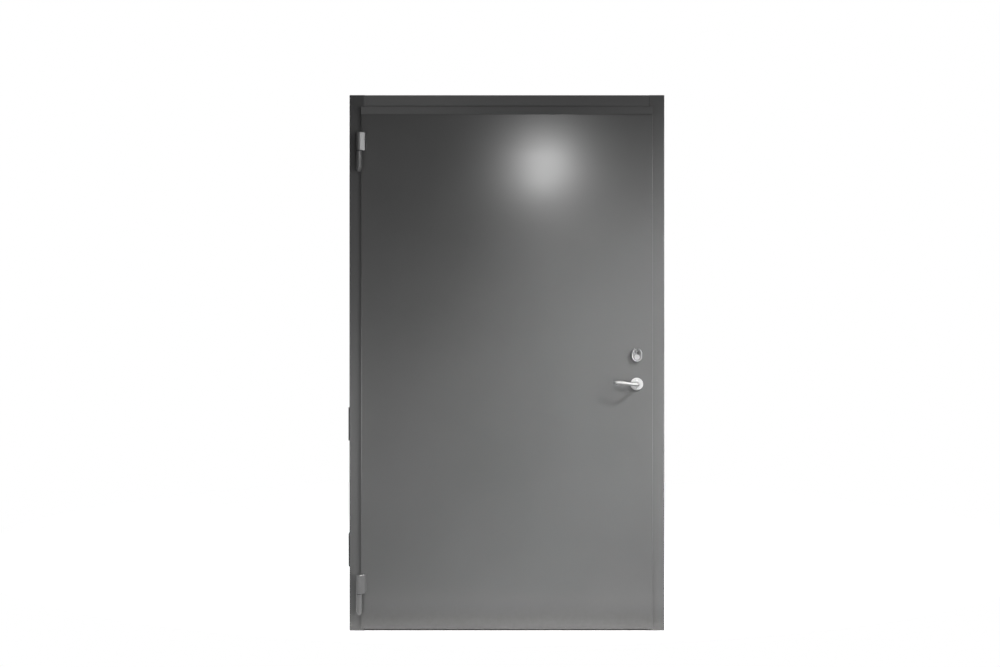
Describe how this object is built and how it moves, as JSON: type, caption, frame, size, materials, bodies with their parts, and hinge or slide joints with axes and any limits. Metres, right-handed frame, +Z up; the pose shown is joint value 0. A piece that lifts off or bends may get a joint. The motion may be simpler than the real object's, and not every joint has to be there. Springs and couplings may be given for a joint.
{
  "type": "steel utility door",
  "caption": "Flat steel utility door leaf hung on lift-off hinges in a pressed steel frame, with a lever handle, a lock cylinder collar and a low sill.",
  "frame": {"origin": "on the floor, in the middle of the doorway, in the plane of the frame's front face, on the underside of the sill", "axes": "+X to the right seen from outside, +Y into the wall, +Z up"},
  "size_m": [1.254, 0.179, 2.125],
  "materials": {
    "leaf_paint": "satin",
    "frame_paint": "satin",
    "hinge_paint": "satin",
    "satin_chrome": "satin",
    "cylinder_metal": "satin",
    "bright_steel": "brushed",
    "sill_steel": "brushed",
    "seal_rubber": "matt",
    "packer_plastic": "matt",
    "box_plastic": "matt",
    "bearing_plastic": "matt"
  },
  "bodies": {
    "frame": {"hinge_jamb": "frame_paint", "lock_jamb": "frame_paint", "frame_head": "frame_paint", "threshold": "sill_steel", "hinge_side_seal": "seal_rubber", "lock_side_seal": "seal_rubber", "head_seal": "seal_rubber", "sill_seal": "seal_rubber", "strike_plate": "bright_steel", "strike_box": "box_plastic", "lower_wall_packer": "packer_plastic", "middle_wall_packer": "packer_plastic", "upper_hinge_frame_half": "hinge_paint", "upper_hinge_pin": "bright_steel", "upper_hinge_washer": "bearing_plastic", "lower_hinge_frame_half": "hinge_paint", "lower_hinge_pin": "bright_steel", "lower_hinge_washer": "bearing_plastic"},
    "leaf": {"leaf_front_skin": "leaf_paint", "leaf_back_skin": "leaf_paint", "leaf_top_cap": "leaf_paint", "upper_hinge_leaf_half": "hinge_paint", "lower_hinge_leaf_half": "hinge_paint", "outside_rose": "satin_chrome", "inside_rose": "satin_chrome", "inside_turn_rose": "satin_chrome", "inside_thumb_turn": "satin_chrome", "outside_cylinder_ring": "satin_chrome", "outside_cylinder": "cylinder_metal", "cylinder_plug": "cylinder_metal", "lock_forend": "bright_steel", "latch_bolt": "bright_steel", "dead_bolt": "bright_steel"},
    "handle": {"outside_lever": "satin_chrome", "inside_lever": "satin_chrome", "spindle": "bright_steel"}
  },
  "joints": [
    {"name": "leaf_swing", "type": "hinge", "parent": "frame", "child": "leaf", "pos_m": [-0.584, -0.028, 1], "axis": [0, 0, -1], "range_deg": [0, 170]},
    {"name": "handle_turn", "type": "hinge", "parent": "leaf", "child": "handle", "pos_m": [0.5138, 0.012, 0.9788], "axis": [0, -1, 0], "range_deg": [0, 45], "stiffness_Nm_per_rad": 1.2, "springref_deg": -20.05}
  ]
}
